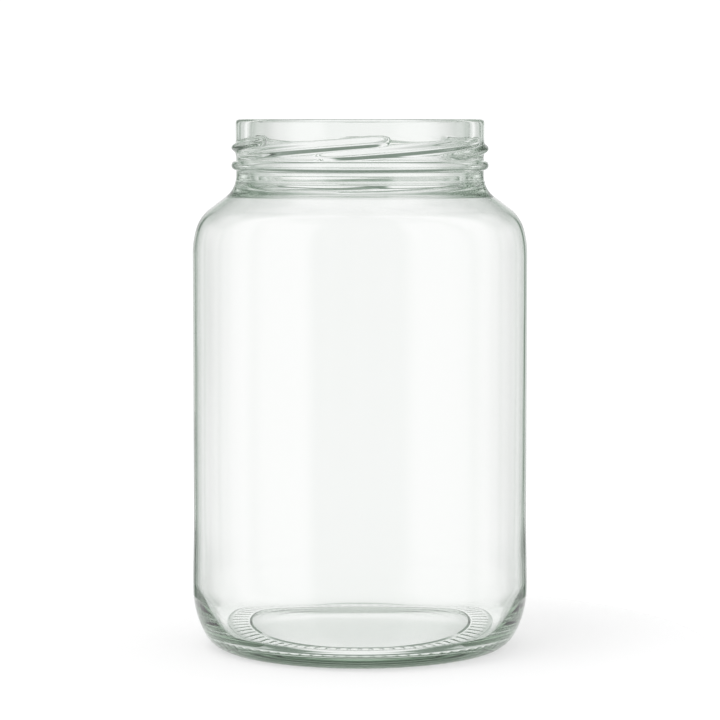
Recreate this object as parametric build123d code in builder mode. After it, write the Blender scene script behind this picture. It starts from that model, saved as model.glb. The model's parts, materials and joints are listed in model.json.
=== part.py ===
from build123d import *
import os
from math import asin, atan2, cos, degrees, radians, sin

# A wide-mouth glass jar, moulded in one piece. Millimetres, +Z up, the origin at the centre of the
# ring it stands on. "Drop" is a depth below the rim.

# Overall sizes
jar_height = 223.0
body_radius = 70.7
heel_band_radius = 71.1
mouth_radius = 47.5
neck_radius = 52.4
root_radius = 52.2          # the neck under the thread lugs
body_wall = 2.1

# Rim
rim_outer_corner = 1.4
rim_inner_corner = 1.0

# Thread lugs: a many-start right-hand finish
lug_count = 6
lug_lead = 26.0             # rise in one full turn
lug_rise = 1.8              # how far a lug stands out of the neck
lug_width = 3.4
lug_drop = 12.3             # depth of a lug's centre line at its middle angle
lug_middle_angle = 178.0    # the middle angle of the first lug, from +X
lug_run_up = 50.0           # degrees from the lower end to the middle angle
lug_run_out = 45.0          # degrees from the middle angle to the upper end
lug_lower_taper = 22.0      # degrees over which the lower end sinks into the neck
lug_upper_taper = 9.0       # and the upper end, which is blunter
lug_path_points = 16

# Transfer bead, and the small step above it
bead_drop = 19.4
bead_rise = 2.05
bead_half_width = 2.6
step_drop = 15.6

# Shoulder, from the neck down: hollow curve, straight flank, tight curve, open curve
flank_angle = 52.8          # from the vertical
open_angle = 14.4           # where the tight curve meets the open one
neck_curve_radius = 11.5
shoulder_tight_radius = 17.2
shoulder_open_radius = 40.8
inner_flare_drop = 21.5
inner_neck_curve_radius = 12.0
inner_tight_radius = 14.6
inner_open_radius = 38.6
shoulder_end_drop = 57.0

# Heel, from the bearing ring up, as the angles at which its three curves meet
heel_edge_radius = 3.0
heel_middle_radius = 11.7
heel_side_radius = 37.8
heel_edge_angle = 25.0
heel_middle_angle = 60.0
heel_band_top = 26.0
panel_bottom = 56.0         # above it the body is plain and a little slimmer than the heel

# Inside of the base
inner_heel_top = 27.5
inner_heel_side_radius = 34.0
inner_heel_side_angle = 30.0
inner_heel_tight_radius = 9.0
floor_slope = 3.5           # degrees that the inner floor rises towards its middle

# Under the base
bearing_inner_radius = 47.9
recess_radius = 46.9
recess_edge_height = 1.0
recess_height = 3.2

# Stippling: short radial grooves in the bearing ring
groove_count = 72
groove_inner_radius = 48.9
groove_outer_radius = 56.6
groove_depth = 0.2
groove_tool_radius = 1.1


def arc_run(radius, start, end):
    """How far outwards an arc reaches between two tangent angles, measured from the vertical."""
    return radius * (cos(radians(end)) - cos(radians(start)))


# Outer shoulder: the straight flank takes up whatever the curves leave
open_run = arc_run(shoulder_open_radius, open_angle, 0)
tight_run = arc_run(shoulder_tight_radius, flank_angle, open_angle)
hollow_run = arc_run(neck_curve_radius, flank_angle, 0)
flank_run = body_radius - root_radius - open_run - tight_run - hollow_run
flank_length = flank_run / sin(radians(flank_angle))

# Inner shoulder, the same way
inner_body_radius = body_radius - body_wall
inner_open_run = arc_run(inner_open_radius, open_angle, 0)
inner_tight_run = arc_run(inner_tight_radius, flank_angle, open_angle)
inner_hollow_run = arc_run(inner_neck_curve_radius, flank_angle, 0)
inner_flank_run = inner_body_radius - mouth_radius - inner_open_run - inner_tight_run - inner_hollow_run
inner_flank_length = inner_flank_run / sin(radians(flank_angle))

# Heel: its curves set where the flat bearing ring ends
heel_steps = [
    (heel_edge_radius, 0, heel_edge_angle),
    (heel_middle_radius, heel_edge_angle, heel_middle_angle),
    (heel_side_radius, heel_middle_angle, 90),
]
heel_run = sum(r * (sin(radians(b)) - sin(radians(a))) for r, a, b in heel_steps)
bearing_outer_radius = heel_band_radius - heel_run

# The gentle S between the heel band and the body
panel_step = heel_band_radius - body_radius
panel_angle = degrees(2 * atan2(panel_step, panel_bottom - heel_band_top))
panel_radius = (panel_bottom - heel_band_top) / (2 * sin(radians(panel_angle)))

# The bead's round top and its two root fillets share one angle
bead_angle = degrees(2 * atan2(bead_rise, bead_half_width))
bead_reach = bead_half_width / sin(radians(bead_angle))
bead_fillet = 0.25 * bead_reach
bead_round = bead_reach - bead_fillet

# The dome of the inner floor, and the dome under the base
inner_floor_radius = inner_body_radius
inner_floor_radius -= inner_heel_side_radius * (1 - cos(radians(inner_heel_side_angle)))
inner_floor_radius -= inner_heel_tight_radius * (
    cos(radians(inner_heel_side_angle)) - cos(radians(90 + floor_slope))
)
floor_dome_radius = inner_floor_radius / sin(radians(floor_slope))
recess_sag = recess_height - recess_edge_height
recess_dome_radius = (recess_radius**2 + recess_sag**2) / (2 * recess_sag)
recess_dome_angle = degrees(asin(recess_radius / recess_dome_radius))

# A lug is a round bar, most of which lies inside the neck
lug_bar_radius = ((lug_width / 2) ** 2 + lug_rise**2) / (2 * lug_rise)
lug_path_radius = neck_radius + lug_rise - lug_bar_radius
lug_sunk = lug_rise + 0.3


def lug_point(first_angle, offset):
    """A point of a lug's centre line, at an offset in degrees from the lug's middle angle."""
    rise_in = min(1, (offset + lug_run_up) / lug_lower_taper)
    rise_out = min(1, (lug_run_out - offset) / lug_upper_taper)
    sunk = lug_sunk * (1 - min(rise_in, rise_out)) ** 1.5
    angle = radians(first_angle + offset)
    height = jar_height - lug_drop + lug_lead * offset / 360
    radius = lug_path_radius - sunk
    return (radius * cos(angle), radius * sin(angle), height)


def lug_path_offsets():
    """Offsets along a lug, closer together where its ends sink into the neck."""
    low = [-lug_run_up + lug_lower_taper * i / 5 for i in range(5)]
    high = [lug_run_out - lug_upper_taper * (4 - i) / 4 for i in range(5)]
    start = -lug_run_up + lug_lower_taper
    end = lug_run_out - lug_upper_taper
    steps = lug_path_points - 8
    middle = [start + (end - start) * i / steps for i in range(steps)]
    return low + middle + high


with BuildPart() as glass_jar:
    with BuildSketch(Plane.XZ) as section:
        with BuildLine() as outline:
            # Under the base: dome, recess wall, bearing ring
            dome = JernArc((0, recess_height), (1, 0), recess_dome_radius, -recess_dome_angle)
            recess_wall = Line(dome @ 1, (bearing_inner_radius, 0))
            bearing = Line(recess_wall @ 1, (bearing_outer_radius, 0))
            # Heel: three tangent curves
            heel_edge = JernArc(bearing @ 1, (1, 0), heel_edge_radius, heel_edge_angle)
            heel_middle = JernArc(
                heel_edge @ 1, heel_edge % 1, heel_middle_radius, heel_middle_angle - heel_edge_angle
            )
            heel_side = JernArc(heel_middle @ 1, heel_middle % 1, heel_side_radius, 90 - heel_middle_angle)
            heel_band = Line(heel_side @ 1, (heel_band_radius, heel_band_top))
            # Body, with the slight set-back above the heel band
            panel_in = JernArc(heel_band @ 1, (0, 1), panel_radius, panel_angle)
            panel_out = JernArc(panel_in @ 1, panel_in % 1, panel_radius, -panel_angle)
            body = Line(panel_out @ 1, (body_radius, jar_height - shoulder_end_drop))
            # Shoulder
            open_curve = JernArc(body @ 1, (0, 1), shoulder_open_radius, open_angle)
            tight_curve = JernArc(
                open_curve @ 1, open_curve % 1, shoulder_tight_radius, flank_angle - open_angle
            )
            flank = PolarLine(tight_curve @ 1, flank_length, direction=tight_curve % 1)
            hollow = JernArc(flank @ 1, flank % 1, neck_curve_radius, -flank_angle)
            # Neck with its transfer bead
            root = Line(hollow @ 1, (root_radius, jar_height - bead_drop - bead_half_width))
            bead_lower = JernArc(root @ 1, (0, 1), bead_fillet, -bead_angle)
            bead = JernArc(bead_lower @ 1, bead_lower % 1, bead_round, 2 * bead_angle)
            bead_upper = JernArc(bead @ 1, bead % 1, bead_fillet, -bead_angle)
            step_foot = Line(bead_upper @ 1, (root_radius, jar_height - step_drop))
            step = Line(step_foot @ 1, (neck_radius, jar_height - step_drop + neck_radius - root_radius))
            neck = Line(step @ 1, (neck_radius, jar_height - rim_outer_corner))
            # Rim
            rim_out = JernArc(neck @ 1, (0, 1), rim_outer_corner, 90)
            land = Line(rim_out @ 1, (mouth_radius + rim_inner_corner, jar_height))
            rim_in = JernArc(land @ 1, (-1, 0), rim_inner_corner, 90)
            # Inside, from the mouth down
            bore = Line(rim_in @ 1, (mouth_radius, jar_height - inner_flare_drop))
            inner_hollow = JernArc(bore @ 1, (0, -1), inner_neck_curve_radius, flank_angle)
            inner_flank = PolarLine(
                inner_hollow @ 1, inner_flank_length, direction=inner_hollow % 1
            )
            inner_tight = JernArc(
                inner_flank @ 1, inner_flank % 1, inner_tight_radius, open_angle - flank_angle
            )
            inner_open = JernArc(inner_tight @ 1, inner_tight % 1, inner_open_radius, -open_angle)
            inner_body = Line(inner_open @ 1, (inner_body_radius, inner_heel_top))
            inner_side = JernArc(
                inner_body @ 1, (0, -1), inner_heel_side_radius, -inner_heel_side_angle
            )
            inner_heel = JernArc(
                inner_side @ 1, inner_side % 1, inner_heel_tight_radius,
                inner_heel_side_angle - 90 - floor_slope,
            )
            floor = JernArc(inner_heel @ 1, inner_heel % 1, floor_dome_radius, floor_slope)
            axis_line = Line(floor @ 1, dome @ 0)
        make_face()
    revolve(axis=Axis.Z)

    # Thread lugs: round bars that rise round the neck and sink into it at both ends
    for lug_number in range(lug_count):
        first_angle = lug_middle_angle + 360 / lug_count * lug_number
        with BuildLine() as lug_path:
            Spline(*[lug_point(first_angle, offset) for offset in lug_path_offsets()])
        with BuildSketch(Plane(lug_path.line @ 0, z_dir=lug_path.line % 0)):
            Circle(lug_bar_radius)
        sweep(path=lug_path.line)

    # Stippling grooves across the bearing ring
    groove_middle = (groove_inner_radius + groove_outer_radius) / 2
    groove_lift = groove_depth - groove_tool_radius
    with Locations((0, 0, groove_lift)):
        with PolarLocations(groove_middle, groove_count):
            Cylinder(
                groove_tool_radius,
                groove_outer_radius - groove_inner_radius,
                rotation=(0, 90, 0),
                mode=Mode.SUBTRACT,
            )

glass_jar.part.label = "glass_jar"
os.makedirs("parts", exist_ok=True)
export_step(glass_jar.part, "parts/glass_jar.step")
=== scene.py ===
"""A clear wide-mouth glass jar on a white table, in soft studio light.

The jar is one piece of glass. Its skin is a surface of revolution that is drawn as one outline, from the
middle of the base out round the heel, up the outside, over the rim and down the inside to the middle of
the inner floor. The thread lugs and the mould seams are raised on it, and the stippling is cut into it.
Sizes are millimetres until the mesh is made, which is in metres. Angles are degrees, and those round the
jar start at +X, apart from the world's, which start straight behind it.
"""

import json
import math

import bpy
import numpy as np
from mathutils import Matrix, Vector


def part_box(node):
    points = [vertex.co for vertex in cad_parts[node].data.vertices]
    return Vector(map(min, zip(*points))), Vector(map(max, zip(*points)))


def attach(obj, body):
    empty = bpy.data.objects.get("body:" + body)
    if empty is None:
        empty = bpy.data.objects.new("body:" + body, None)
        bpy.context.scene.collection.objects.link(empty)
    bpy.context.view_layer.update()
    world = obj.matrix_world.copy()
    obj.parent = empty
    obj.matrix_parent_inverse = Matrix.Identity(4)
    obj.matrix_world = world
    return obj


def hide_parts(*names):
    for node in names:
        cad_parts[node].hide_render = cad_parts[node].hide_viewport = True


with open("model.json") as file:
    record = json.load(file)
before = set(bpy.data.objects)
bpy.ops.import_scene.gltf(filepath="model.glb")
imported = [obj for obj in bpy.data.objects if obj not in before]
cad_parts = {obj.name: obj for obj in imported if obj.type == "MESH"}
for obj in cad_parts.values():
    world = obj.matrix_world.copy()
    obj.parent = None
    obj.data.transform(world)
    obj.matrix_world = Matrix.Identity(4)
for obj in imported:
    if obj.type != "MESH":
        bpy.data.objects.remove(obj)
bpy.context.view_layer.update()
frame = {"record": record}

MM = 0.001


# ---------------------------------------------------------------------------------------------------
# Sizes. The overall ones come from the frame. The rest are the jar's own, as in the CAD model, which has no
# seams and an even inner wall.
# ---------------------------------------------------------------------------------------------------

high_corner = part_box("glass_jar")[1]
HEIGHT = high_corner.z / MM
HEEL_BAND_RADIUS = high_corner.x / MM
mounts = {mount["name"]: mount for mount in frame["record"]["mounts"]}
MOUTH_RADIUS = mounts["mouth"]["dims"]["r_mm"]
LUG_RADIUS = mounts["lug_thread"]["dims"]["r_mm"]

HEEL_BAND_RISE = 0.4        # how far the heel band stands out of the body
BODY_RADIUS = HEEL_BAND_RADIUS - HEEL_BAND_RISE
BODY_WALL = 2.1
LUG_RISE = 1.8
NECK_RADIUS = LUG_RADIUS - LUG_RISE
NECK_STEP = 0.2             # how far the neck under the lugs is set back
ROOT_RADIUS = NECK_RADIUS - NECK_STEP

RIM_OUTER_CORNER = 1.4
RIM_INNER_CORNER = 1.0

# A drop is a depth below the rim
BEAD_DROP = 19.4
BEAD_RISE = 2.05
BEAD_HALF_WIDTH = 2.6
BEAD_FILLET_SHARE = 0.25    # of the bead's curve, at each of its two feet
STEP_DROP = 15.6

# Shoulder: an open curve, a tight one, a straight flank and the hollow curve up to the neck
FLANK_ANGLE = 52.8
OPEN_ANGLE = 14.4
NECK_CURVE = 11.5
SHOULDER_TIGHT = 17.2
SHOULDER_OPEN = 40.8
SHOULDER_END_DROP = 57.0
INNER_FLARE_DROP = 21.5
INNER_NECK_CURVE = 12.0
INNER_TIGHT = 14.6
INNER_OPEN = 38.6

HEEL_CURVES = ((3.0, 0.0, 25.0), (11.7, 25.0, 60.0), (37.8, 60.0, 90.0))   # radius, from, to (degrees)
HEEL_BAND_TOP = 26.0
PANEL_BOTTOM = 56.0
INNER_HEEL_TOP = 27.5
INNER_HEEL_SIDE = 34.0
INNER_HEEL_SIDE_TURN = 30.0
INNER_HEEL_TIGHT = 9.0
FLOOR_SLOPE = 3.5

BEARING_INNER = 47.9
RECESS_RADIUS = 46.9
RECESS_EDGE = 1.0
RECESS_HEIGHT = 3.2
CORNER = 0.4                # soft corners at the recess
DOME_SAG = RECESS_HEIGHT - RECESS_EDGE

LUG_COUNT = 6
LUG_LEAD = 26.0             # how far a lug would rise in a full turn
LUG_DROP = 12.3
LUG_MIDDLE = 178.0          # the middle of the first lug
LUG_RUN_UP = 50.0           # from its lower end to its middle
LUG_RUN_OUT = 45.0          # from its middle to its upper end
LUG_LOWER_TAPER = 22.0
LUG_UPPER_TAPER = 9.0
LUG_HALF_WIDTH = 1.3        # from its middle line to where it is about half as high
LUG_FALL = 0.69             # how far it has fallen there, as a power of e
LUG_FLAT = 2.8              # a larger power makes a flatter top with steeper sides

GROOVES = 72
GROOVE_INNER = 48.9
GROOVE_OUTER = 56.6
GROOVE_DEPTH = 0.2
GROOVE_HALF_WIDTH = 0.75
GROOVE_END = 0.8            # the length over which a groove runs out at each end

SEAMS = (0.0, 180.0)
SEAM_HEIGHT = 0.06
SEAM_HALF_WIDTH = 0.28
SEAM_EDGES = (0.2, 0.45)    # degrees beside a seam where the mesh has extra lines
SEAM_FIRST_ROW = 10         # rows past the bearing ring, where a seam starts to rise
SEAM_RUN_IN = 6             # rows over which it rises
SEAM_LAST_ROW = 4           # rows past the foot of the hollow curve
RIDGE_SHARPNESS = 1.4       # of the round-topped ridges and grooves
RING_SEAM_DROP = 26.1
RING_SEAM_HEIGHT = 0.12
RING_SEAM_HALF_WIDTH = 0.3

# Slow unevenness of the inner wall, as waves: height, how many round the jar, millimetres of height for a
# radian of the wave (None: the same at every height), and the radians it starts with
WALL_WAVES = ((0.05, 2, None, 0.7), (0.035, 3, 31.0, 1.9), (0.025, 5, -23.0, 0.4), (0.02, 1, 17.0, 0.0))
WALL_WAVE_FADE = 40.0       # it is at full size this far below the rim and this far from the axis

SEGMENTS = 264
FINE = 3                    # the bearing ring has this many times as many segments


# ---------------------------------------------------------------------------------------------------
# The outline
# ---------------------------------------------------------------------------------------------------

class Outline:
    """A path of lines and tangent arcs in the plane of radius and height."""

    def __init__(self, r, z, heading):
        self.points = [(r, z)]
        self.heading = math.radians(heading)
        self.marks = {}

    def mark(self, name):
        self.marks[name] = len(self.points) - 1

    def line(self, length, steps):
        r, z = self.points[-1]
        for i in range(1, steps + 1):
            run = length * i / steps
            self.points.append((r + run * math.cos(self.heading), z + run * math.sin(self.heading)))

    def line_to(self, r, z, steps):
        r0, z0 = self.points[-1]
        self.heading = math.atan2(z - z0, r - r0)
        self.line(math.hypot(r - r0, z - z0), steps)

    def arc(self, radius, turn, steps):
        """Turns left by a positive angle in degrees, right by a negative one."""
        side = math.copysign(1, turn)
        r, z = self.points[-1]
        centre_r = r - side * radius * math.sin(self.heading)
        centre_z = z + side * radius * math.cos(self.heading)
        start = self.heading
        for i in range(1, steps + 1):
            self.heading = start + math.radians(turn) * i / steps
            self.points.append((
                centre_r + side * radius * math.sin(self.heading),
                centre_z - side * radius * math.cos(self.heading),
            ))


def arc_run(radius, start, end):
    """How far an arc between two angles from the vertical reaches outwards."""
    return radius * (math.cos(math.radians(end)) - math.cos(math.radians(start)))


def draw_base(path):
    """From the middle of the base to the top of the heel band."""
    dome_radius = (RECESS_RADIUS**2 + DOME_SAG**2) / (2 * DOME_SAG)
    dome_turn = math.degrees(math.asin(RECESS_RADIUS / dome_radius))
    wall_width = BEARING_INNER - RECESS_RADIUS
    wall_drop = math.degrees(math.atan2(RECESS_EDGE, wall_width))
    # Each soft corner takes its tangent length off the lines beside it
    soft_in = CORNER * math.tan(math.radians((wall_drop - dome_turn) / 2))
    soft_out = CORNER * math.tan(math.radians(wall_drop / 2))
    path.arc(dome_radius, -dome_turn, steps=9)
    path.points[-1] = (path.points[-1][0] - soft_in, path.points[-1][1])
    path.arc(CORNER, dome_turn - wall_drop, steps=5)
    path.line(math.hypot(RECESS_EDGE, wall_width) - soft_in - soft_out, steps=2)
    path.arc(CORNER, wall_drop, steps=5)
    path.points[-1] = (path.points[-1][0], 0.0)
    path.heading = 0.0
    path.mark("bearing_start")
    heel_reach = sum(arc_run(radius, 90 - start, 90 - end) for radius, start, end in HEEL_CURVES)
    path.line(HEEL_BAND_RADIUS - heel_reach - path.points[-1][0], steps=22)
    path.mark("bearing_end")
    for (radius, start, end), steps in zip(HEEL_CURVES, (5, 10, 12)):
        path.arc(radius, end - start, steps)
    path.line_to(HEEL_BAND_RADIUS, HEEL_BAND_TOP, steps=2)


def draw_outside(path):
    """Body, shoulder, neck and rim."""
    turn = math.degrees(2 * math.atan2(HEEL_BAND_RISE, PANEL_BOTTOM - HEEL_BAND_TOP))
    radius = (PANEL_BOTTOM - HEEL_BAND_TOP) / (2 * math.sin(math.radians(turn)))
    path.arc(radius, turn, steps=5)
    path.arc(radius, -turn, steps=5)
    path.line_to(BODY_RADIUS, HEIGHT - SHOULDER_END_DROP, steps=8)
    path.arc(SHOULDER_OPEN, OPEN_ANGLE, steps=7)
    path.arc(SHOULDER_TIGHT, FLANK_ANGLE - OPEN_ANGLE, steps=12)
    reach = arc_run(SHOULDER_OPEN, OPEN_ANGLE, 0) + arc_run(SHOULDER_TIGHT, FLANK_ANGLE, OPEN_ANGLE)
    reach += arc_run(NECK_CURVE, FLANK_ANGLE, 0)
    path.line((BODY_RADIUS - ROOT_RADIUS - reach) / math.sin(math.radians(FLANK_ANGLE)), steps=4)
    path.mark("hollow_start")
    path.arc(NECK_CURVE, -FLANK_ANGLE, steps=32)
    path.mark("neck_start")
    path.line_to(ROOT_RADIUS, HEIGHT - BEAD_DROP - BEAD_HALF_WIDTH, steps=2)
    bead_turn = math.degrees(2 * math.atan2(BEAD_RISE, BEAD_HALF_WIDTH))
    bead_reach = BEAD_HALF_WIDTH / math.sin(math.radians(bead_turn))
    path.arc(bead_reach * BEAD_FILLET_SHARE, -bead_turn, steps=5)
    path.arc(bead_reach * (1 - BEAD_FILLET_SHARE), 2 * bead_turn, steps=16)
    path.arc(bead_reach * BEAD_FILLET_SHARE, -bead_turn, steps=5)
    path.line_to(ROOT_RADIUS, HEIGHT - STEP_DROP, steps=2)
    path.line_to(NECK_RADIUS, HEIGHT - STEP_DROP + NECK_STEP, steps=1)
    path.line_to(NECK_RADIUS, HEIGHT - LUG_DROP / 2, steps=26)
    path.line_to(NECK_RADIUS, HEIGHT - RIM_OUTER_CORNER, steps=3)
    path.mark("neck_end")
    path.arc(RIM_OUTER_CORNER, 90, steps=8)
    path.line_to(MOUTH_RADIUS + RIM_INNER_CORNER, HEIGHT, steps=3)
    path.arc(RIM_INNER_CORNER, 90, steps=7)


def draw_inside(path):
    """From the mouth down to the middle of the inner floor."""
    path.mark("inside_start")
    inner_radius = BODY_RADIUS - BODY_WALL
    path.line_to(MOUTH_RADIUS, HEIGHT - INNER_FLARE_DROP, steps=7)
    path.arc(INNER_NECK_CURVE, FLANK_ANGLE, steps=12)
    reach = arc_run(INNER_OPEN, OPEN_ANGLE, 0) + arc_run(INNER_TIGHT, FLANK_ANGLE, OPEN_ANGLE)
    reach += arc_run(INNER_NECK_CURVE, FLANK_ANGLE, 0)
    path.line((inner_radius - MOUTH_RADIUS - reach) / math.sin(math.radians(FLANK_ANGLE)), steps=5)
    path.arc(INNER_TIGHT, OPEN_ANGLE - FLANK_ANGLE, steps=12)
    path.arc(INNER_OPEN, -OPEN_ANGLE, steps=7)
    path.line_to(inner_radius, INNER_HEEL_TOP, steps=14)
    path.arc(INNER_HEEL_SIDE, -INNER_HEEL_SIDE_TURN, steps=9)
    path.arc(INNER_HEEL_TIGHT, INNER_HEEL_SIDE_TURN - 90 - FLOOR_SLOPE, steps=14)
    path.mark("floor_start")
    path.arc(path.points[-1][0] / math.sin(math.radians(FLOOR_SLOPE)), FLOOR_SLOPE, steps=12)


def draw_outline():
    path = Outline(0.0, RECESS_HEIGHT, 0.0)
    draw_base(path)
    draw_outside(path)
    draw_inside(path)
    return path


# ---------------------------------------------------------------------------------------------------
# What stands out of the outline or is cut into it
# ---------------------------------------------------------------------------------------------------

def smooth(x):
    x = np.clip(x, 0, 1)
    return x * x * (3 - 2 * x)


def ridge(across, half_width):
    """The profile of a narrow round-topped ridge, 1 high."""
    return np.exp(-RIDGE_SHARPNESS * (across / half_width) ** 2)


def lug_height(angle, drop):
    """How far the thread lugs raise the neck, at these angles and this depth below the rim."""
    total = np.zeros_like(angle)
    for number in range(LUG_COUNT):
        offset = (angle - LUG_MIDDLE - 360 / LUG_COUNT * number + 180) % 360 - 180
        lower = smooth((offset + LUG_RUN_UP) / LUG_LOWER_TAPER)
        upper = smooth((LUG_RUN_OUT - offset) / LUG_UPPER_TAPER)
        away = (drop - LUG_DROP + LUG_LEAD * offset / 360) / LUG_HALF_WIDTH
        profile = np.exp(-LUG_FALL * np.abs(away) ** LUG_FLAT)
        total = np.maximum(total, LUG_RISE * lower * upper * profile)
    return total


def groove_depth(angle, r):
    """How far the stippling's grooves go up into the bearing ring, at these angles and this radius."""
    pitch = 360 / GROOVES
    across = np.radians((angle + pitch / 2) % pitch - pitch / 2) * r
    ends = smooth((r - GROOVE_INNER) / GROOVE_END) * smooth((GROOVE_OUTER - r) / GROOVE_END)
    return GROOVE_DEPTH * ends * ridge(across, GROOVE_HALF_WIDTH)


def seam_height(angle, r):
    """The two faint vertical ridges where the halves of the mould met."""
    across = np.radians((angle + 90) % 180 - 90) * r
    return SEAM_HEIGHT * ridge(across, SEAM_HALF_WIDTH)


def wall_drift(angle, z):
    """Slow unevenness of the inner wall, as blown glass has."""
    drift = np.zeros_like(angle)
    for height, waves_round, length_up, start in WALL_WAVES:
        climb = z / length_up if length_up else 0.0
        drift += height * np.sin(waves_round * np.radians(angle) + climb + start)
    return drift


def ring_angles():
    """Even angles, with a few more beside each seam so that its ridge has a shape."""
    even = [360 / SEGMENTS * i for i in range(SEGMENTS)]
    extra = [seam + side * gap for seam in SEAMS for side in (-1, 1) for gap in SEAM_EDGES]
    return np.array(sorted(even + [a % 360 for a in extra]))


def finer(angles):
    """The same angles with more between each two."""
    nexts = np.append(angles[1:], angles[0] + 360)
    rows = [angles + (nexts - angles) * k / FINE for k in range(FINE)]
    return np.stack(rows, axis=1).ravel()


def ring_points(path, row, angles):
    """The points of one ring of the skin, in metres, with all that is raised on it or cut into it."""
    r, z = path.points[row]
    marks = path.marks
    radii = np.full_like(angles, r)
    heights = np.full_like(angles, z)
    if marks["bearing_start"] <= row <= marks["bearing_end"]:
        heights = heights + groove_depth(angles, r)
    if marks["neck_start"] <= row <= marks["neck_end"]:
        radii = radii + lug_height(angles, HEIGHT - z)
    if marks["hollow_start"] <= row <= marks["neck_start"]:
        across = HEIGHT - z - RING_SEAM_DROP
        radii = radii + RING_SEAM_HEIGHT * math.exp(-((across / RING_SEAM_HALF_WIDTH) ** 2))
    seam_start = marks["bearing_end"] + SEAM_FIRST_ROW
    if seam_start <= row <= marks["hollow_start"] + SEAM_LAST_ROW:
        rise = smooth((row - seam_start) / SEAM_RUN_IN)
        radii = radii + seam_height(angles, r) * rise
    if marks["inside_start"] <= row:
        fade = smooth((HEIGHT - z) / WALL_WAVE_FADE) * smooth(r / WALL_WAVE_FADE)
        radii = radii + wall_drift(angles, z) * fade
    radii = np.minimum(radii, HEEL_BAND_RADIUS)
    heights = np.maximum(heights, 0)
    around = np.radians(angles)
    return np.stack([radii * np.cos(around), radii * np.sin(around), heights], axis=1) * MM


def add_band(faces, first, second, count):
    """Quads between two rings of the same count."""
    for j in range(count):
        k = (j + 1) % count
        faces.append((first + j, first + k, second + k, second + j))


def add_step(faces, coarse, fine, count, fine_is_outer):
    """Faces between a ring and one with FINE times as many points, which is three times as many."""
    for j in range(count):
        this = coarse + j
        after = coarse + (j + 1) % count
        dense = [fine + (FINE * j + i) % (FINE * count) for i in range(FINE + 1)]
        made = [
            (this, dense[1], dense[0]),
            (this, after, dense[2], dense[1]),
            (after, dense[3], dense[2]),
        ]
        faces.extend(made if fine_is_outer else [face[::-1] for face in made])


def jar_mesh():
    path = draw_outline()
    coarse = ring_angles()
    fine = finer(coarse)
    last = len(path.points) - 1
    points = [np.array([[0, 0, path.points[0][1] * MM]])]
    starts = [0]
    total = 1
    for row in range(1, last):
        is_fine = path.marks["bearing_start"] < row < path.marks["bearing_end"]
        ring = ring_points(path, row, fine if is_fine else coarse)
        points.append(ring)
        starts.append(total)
        total += len(ring)
    points.append(np.array([[0, 0, path.points[last][1] * MM]]))
    starts.append(total)

    faces = []
    count = len(coarse)
    for j in range(count):
        faces.append((0, starts[1] + (j + 1) % count, starts[1] + j))
        faces.append((starts[last], starts[last - 1] + j, starts[last - 1] + (j + 1) % count))
    for row in range(1, last - 1):
        size, next_size = len(points[row]), len(points[row + 1])
        if size == next_size:
            add_band(faces, starts[row], starts[row + 1], size)
        elif size < next_size:
            add_step(faces, starts[row], starts[row + 1], count, True)
        else:
            add_step(faces, starts[row + 1], starts[row], count, False)
    mesh = bpy.data.meshes.new("glass_jar_skin")
    mesh.from_pydata(np.concatenate(points).tolist(), [], faces)
    mesh.validate()
    mesh.shade_smooth()
    return mesh


# ---------------------------------------------------------------------------------------------------
# Glass
# ---------------------------------------------------------------------------------------------------

GLASS_IOR = 1.52
DEPTH_COLOUR = (0.705, 0.79, 0.71, 1.0)
DEPTH_DENSITY = 22.0
WAVES_SCALE = 34.0          # slow waves in the skin
WAVES_DETAIL = 1.0
WAVES_STRENGTH = 0.10
WAVES_HEIGHT = 0.0006
GRAIN_SCALE = 420.0         # a trace of haze, where the grain is strongest
GRAIN_DETAIL = 3.0
HAZE_FROM = 0.55
HAZE_FULL = 0.80
HAZE_ROUGHNESS = 0.03


def noise(tree, place, scale, detail):
    node = tree.nodes.new("ShaderNodeTexNoise")
    node.inputs["Scale"].default_value = scale
    node.inputs["Detail"].default_value = detail
    tree.links.new(place, node.inputs["Vector"])
    return node.outputs["Fac"]


def add_waves(tree, place, glass):
    bump = tree.nodes.new("ShaderNodeBump")
    bump.inputs["Strength"].default_value = WAVES_STRENGTH
    bump.inputs["Distance"].default_value = WAVES_HEIGHT
    tree.links.new(noise(tree, place, WAVES_SCALE, WAVES_DETAIL), bump.inputs["Height"])
    tree.links.new(bump.outputs["Normal"], glass.inputs["Normal"])


def add_haze(tree, place, glass):
    haze = tree.nodes.new("ShaderNodeMapRange")
    haze.inputs["From Min"].default_value = HAZE_FROM
    haze.inputs["From Max"].default_value = HAZE_FULL
    haze.inputs["To Max"].default_value = HAZE_ROUGHNESS
    tree.links.new(noise(tree, place, GRAIN_SCALE, GRAIN_DETAIL), haze.inputs["Value"])
    tree.links.new(haze.outputs["Result"], glass.inputs["Roughness"])


def glass_material():
    """Clear soda-lime glass: a faint green in its depth, and a skin that is smooth but not perfect."""
    material = bpy.data.materials.new("jar_glass")
    material.use_nodes = True
    tree = material.node_tree
    tree.nodes.clear()
    out = tree.nodes.new("ShaderNodeOutputMaterial")
    glass = tree.nodes.new("ShaderNodeBsdfPrincipled")
    glass.inputs["Base Color"].default_value = (1.0, 1.0, 1.0, 1.0)
    glass.inputs["IOR"].default_value = GLASS_IOR
    glass.inputs["Transmission Weight"].default_value = 1.0
    tree.links.new(glass.outputs["BSDF"], out.inputs["Surface"])

    place = tree.nodes.new("ShaderNodeTexCoord").outputs["Object"]
    add_waves(tree, place, glass)
    add_haze(tree, place, glass)

    depth = tree.nodes.new("ShaderNodeVolumeAbsorption")
    depth.inputs["Color"].default_value = DEPTH_COLOUR
    depth.inputs["Density"].default_value = DEPTH_DENSITY
    tree.links.new(depth.outputs["Volume"], out.inputs["Volume"])
    return material


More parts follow.
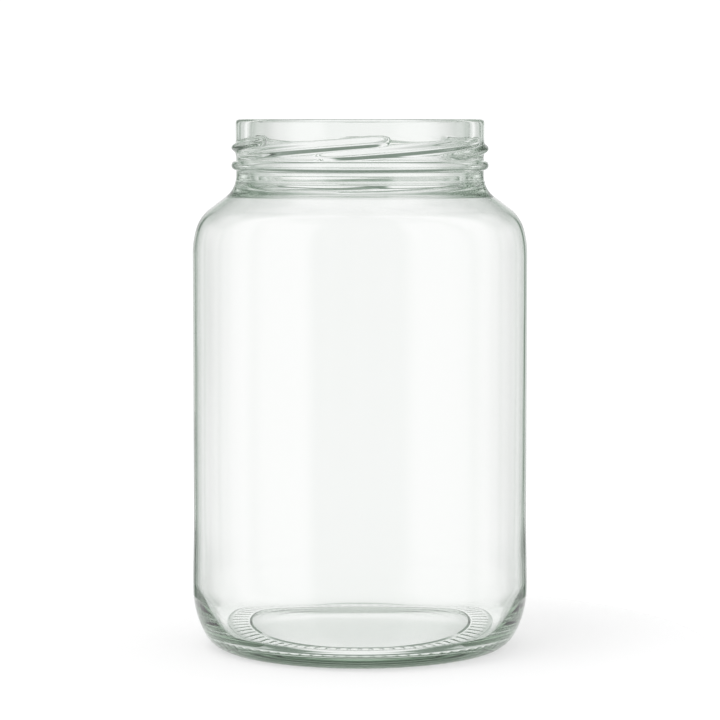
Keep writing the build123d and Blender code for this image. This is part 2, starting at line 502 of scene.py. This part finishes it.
def make_jar():
    jar = bpy.data.objects.new("glass_jar_skin", jar_mesh())
    bpy.context.scene.collection.objects.link(jar)
    jar.data.materials.append(glass_material())
    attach(jar, "root")
    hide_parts("glass_jar")


# ---------------------------------------------------------------------------------------------------
# Stage: the world, in degrees round the jar from straight behind it, and in degrees up
# ---------------------------------------------------------------------------------------------------

ROOM_LIGHT = 1.1            # what the camera sees past the table, and what lights the table

# What the glass bends: bright backdrops all round, one for each view, as (degrees from its middle, light)
BACKDROPS = 8
BACKDROP = ((3.5, 1.05), (11.0, 0.72), (18.0, 0.66), (22.5, 0.20))
TOP_FADE = (8.0, 22.0)      # from the backdrops to the dim ceiling
LOW_FADE = (-34.0, -42.0)   # from the backdrops to a dim band under them
TABLE_FADE = (-62.0, -54.0)             # from white straight below to that band
DIM_LIGHT = 0.26
DIM_TINT = (0.80, 1.0, 0.84, 1.0)
TINT_FADE = (0.2, 0.9)      # the light at which the tint is full, and at which it is gone

# What the glass mirrors: a dim room in front, lighter sides, and a tall soft box on each side
MIRRORED_FROM = (55.0, 75.0)            # from the same backdrops to that room
ROOM_REFLECTED = 0.40
SIDE_LIGHT = 0.80
SIDE_FADE = (84.0, 98.0)    # from the sides to the room in front
LEFT_PANEL = (90.0, 146.0, 0.78)        # from, to, light
RIGHT_PANEL = (100.0, 143.0, 0.68)
PANEL_SOFTNESS = 6.0
PANEL_TOP = (0.78, 0.90)    # sine of the angle up


class NodeMaths:
    """Short names for the maths nodes of one node tree."""

    def __init__(self, tree):
        self.nodes, self.links = tree.nodes, tree.links

    def feed(self, socket, value):
        if isinstance(value, (int, float)):
            socket.default_value = value
        else:
            self.links.new(value, socket)

    def do(self, operation, first, second=0.0, third=0.0):
        node = self.nodes.new("ShaderNodeMath")
        node.operation = operation
        for socket, value in zip(node.inputs, (first, second, third)):
            self.feed(socket, value)
        return node.outputs[0]

    def ramp(self, value, low, high, to_low, to_high):
        """A smooth change from one level to another, as value goes from low to high."""
        node = self.nodes.new("ShaderNodeMapRange")
        node.interpolation_type = "SMOOTHSTEP"
        node.inputs["From Min"].default_value = low
        node.inputs["From Max"].default_value = high
        self.feed(node.inputs["Value"], value)
        self.feed(node.inputs["To Min"], to_low)
        self.feed(node.inputs["To Max"], to_high)
        return node.outputs["Result"]

    def choose(self, factor, if_no, if_yes):
        node = self.nodes.new("ShaderNodeMix")
        self.feed(node.inputs["Factor"], factor)
        self.feed(node.inputs["A"], if_no)
        self.feed(node.inputs["B"], if_yes)
        return node.outputs["Result"]


def bent_light(maths, turn, up):
    """The ring of backdrops, with a dim ceiling over it, a dim band under it, and white straight below."""
    from_middle = maths.do("PINGPONG", turn, 180.0 / BACKDROPS)
    light = BACKDROP[0][1]
    for (low, level), (high, next_level) in zip(BACKDROP, BACKDROP[1:]):
        light = maths.do("ADD", maths.ramp(from_middle, low, high, 0.0, next_level - level), light)
    light = maths.choose(maths.ramp(up, *TOP_FADE, 0.0, 1.0), light, DIM_LIGHT)
    light = maths.choose(maths.ramp(up, *reversed(LOW_FADE), 1.0, 0.0), light, DIM_LIGHT)
    return maths.choose(maths.ramp(up, *TABLE_FADE, 1.0, 0.0), light, 1.0)


def mirrored_light(maths, turn, height, bent):
    """The room and its soft boxes, joined to the backdrop behind the jar."""
    away = maths.do("ABSOLUTE", turn)
    room = maths.ramp(away, *SIDE_FADE, SIDE_LIGHT, ROOM_REFLECTED)
    below_top = maths.ramp(height, *PANEL_TOP, 1.0, 0.0)
    for side, (first, last, light) in ((-1, LEFT_PANEL), (1, RIGHT_PANEL)):
        across = maths.do("MULTIPLY", turn, side)
        past_first = maths.ramp(across, first - PANEL_SOFTNESS, first + PANEL_SOFTNESS, 0.0, 1.0)
        before_last = maths.ramp(across, last - PANEL_SOFTNESS, last + PANEL_SOFTNESS, 1.0, 0.0)
        lit = maths.do("MULTIPLY", maths.do("MULTIPLY", past_first, before_last), below_top)
        room = maths.do("MULTIPLY_ADD", lit, light - ROOM_REFLECTED, room)
    return maths.choose(maths.ramp(away, *MIRRORED_FROM, 0.0, 1.0), bent, room)


def make_world():
    """A plain white room for the camera and the table, and a studio for the rays that meet the glass."""
    world = bpy.data.worlds.new("studio")
    world.use_nodes = True
    maths = NodeMaths(world.node_tree)
    split = maths.nodes.new("ShaderNodeSeparateXYZ")
    maths.links.new(maths.nodes.new("ShaderNodeTexCoord").outputs["Generated"], split.inputs["Vector"])
    turn = maths.do("DEGREES", maths.do("ARCTAN2", split.outputs["X"], split.outputs["Y"]))
    up = maths.do("DEGREES", maths.do("ARCSINE", split.outputs["Z"]))
    bent = bent_light(maths, turn, up)
    mirrored = mirrored_light(maths, turn, split.outputs["Z"], bent)

    path = maths.nodes.new("ShaderNodeLightPath")
    was_mirrored = maths.do("MINIMUM", path.outputs["Glossy Depth"], 1.0)
    from_glass = maths.do("MAXIMUM", path.outputs["Is Transmission Ray"], path.outputs["Is Reflection Ray"])
    was_on_table = maths.do("MINIMUM", path.outputs["Diffuse Depth"], 1.0)
    from_glass = maths.do("MULTIPLY", from_glass, maths.do("SUBTRACT", 1.0, was_on_table))
    level = maths.choose(from_glass, ROOM_LIGHT, maths.choose(was_mirrored, bent, mirrored))

    tint = maths.nodes.new("ShaderNodeMix")
    tint.data_type = "RGBA"
    tint.inputs["A"].default_value = DIM_TINT
    tint.inputs["B"].default_value = (1.0, 1.0, 1.0, 1.0)
    maths.links.new(maths.ramp(level, *TINT_FADE, 0.0, 1.0), tint.inputs["Factor"])
    background = maths.nodes["Background"]
    maths.links.new(tint.outputs["Result"], background.inputs["Color"])
    maths.links.new(level, background.inputs["Strength"])
    bpy.context.scene.world = world


# ---------------------------------------------------------------------------------------------------
# Stage: table, lamp and camera, in metres
# ---------------------------------------------------------------------------------------------------

FLOOR_RADIUS = 0.15
FLOOR_SIDES = 96
FLOOR_GAP = 0.0003          # clear of the ring that the jar stands on
FLOOR_COLOUR = (0.45, 0.45, 0.45, 1.0)
FLOOR_GLOW = 0.49

LAMP_TOWARDS = (-0.42, -0.30, 1.0)      # from the jar to the lamp
LAMP_SPREAD = 32.0          # degrees across
LAMP_LIGHT = 0.70

CAMERA_DISTANCE = 1.223
CAMERA_PITCH = 4.76         # degrees down
CAMERA_LENS = 144.6         # millimetres, like the sensor's width
CAMERA_SENSOR = 36.0

BOUNCES = 32                # light goes round inside thick glass many times
MIRROR_BOUNCES = 24


def floor_material():
    """Matt grey with a glow, which add up to white under the lamp and the room."""
    material = bpy.data.materials.new("white_table")
    material.use_nodes = True
    shader = material.node_tree.nodes["Principled BSDF"]
    shader.inputs["Base Color"].default_value = FLOOR_COLOUR
    shader.inputs["Roughness"].default_value = 1.0
    shader.inputs["Specular IOR Level"].default_value = 0.0
    shader.inputs["Emission Color"].default_value = (1.0, 1.0, 1.0, 1.0)
    shader.inputs["Emission Strength"].default_value = FLOOR_GLOW
    return material


def make_floor():
    """A round table top. The room past its edge is as white as it is."""
    angles = [2 * math.pi * i / FLOOR_SIDES for i in range(FLOOR_SIDES)]
    ring = [(FLOOR_RADIUS * math.cos(angle), FLOOR_RADIUS * math.sin(angle), 0.0) for angle in angles]
    mesh = bpy.data.meshes.new("floor")
    mesh.from_pydata(ring, [], [tuple(range(FLOOR_SIDES))])
    mesh.materials.append(floor_material())
    floor = bpy.data.objects.new("floor", mesh)
    floor.location.z = -FLOOR_GAP
    floor.visible_transmission = False      # rays that the glass bends pass it and meet the world below
    bpy.context.scene.collection.objects.link(floor)


def make_lamp():
    """A broad lamp high on the left, which helps to light the table and gives the faint shadow."""
    data = bpy.data.lights.new("lamp", "SUN")
    data.energy = LAMP_LIGHT
    data.angle = math.radians(LAMP_SPREAD)
    lamp = bpy.data.objects.new("lamp", data)
    lamp.rotation_euler = Vector(LAMP_TOWARDS).to_track_quat("Z", "Y").to_euler()
    lamp.visible_glossy = False
    lamp.visible_transmission = False
    bpy.context.scene.collection.objects.link(lamp)


def make_camera():
    """The camera is level with the rim and looks a little down."""
    data = bpy.data.cameras.new("camera")
    data.sensor_width = CAMERA_SENSOR
    data.lens = CAMERA_LENS
    camera = bpy.data.objects.new("camera", data)
    camera.location = (0.0, -CAMERA_DISTANCE, HEIGHT * MM)
    camera.rotation_euler = (math.pi / 2 - math.radians(CAMERA_PITCH), 0.0, 0.0)
    bpy.context.scene.collection.objects.link(camera)
    bpy.context.scene.camera = camera


def make_stage():
    make_floor()
    make_world()
    make_lamp()
    make_camera()
    scene = bpy.context.scene
    scene.view_settings.view_transform = "Standard"
    scene.cycles.max_bounces = BOUNCES
    scene.cycles.transmission_bounces = BOUNCES
    scene.cycles.glossy_bounces = MIRROR_BOUNCES


make_jar()
make_stage()
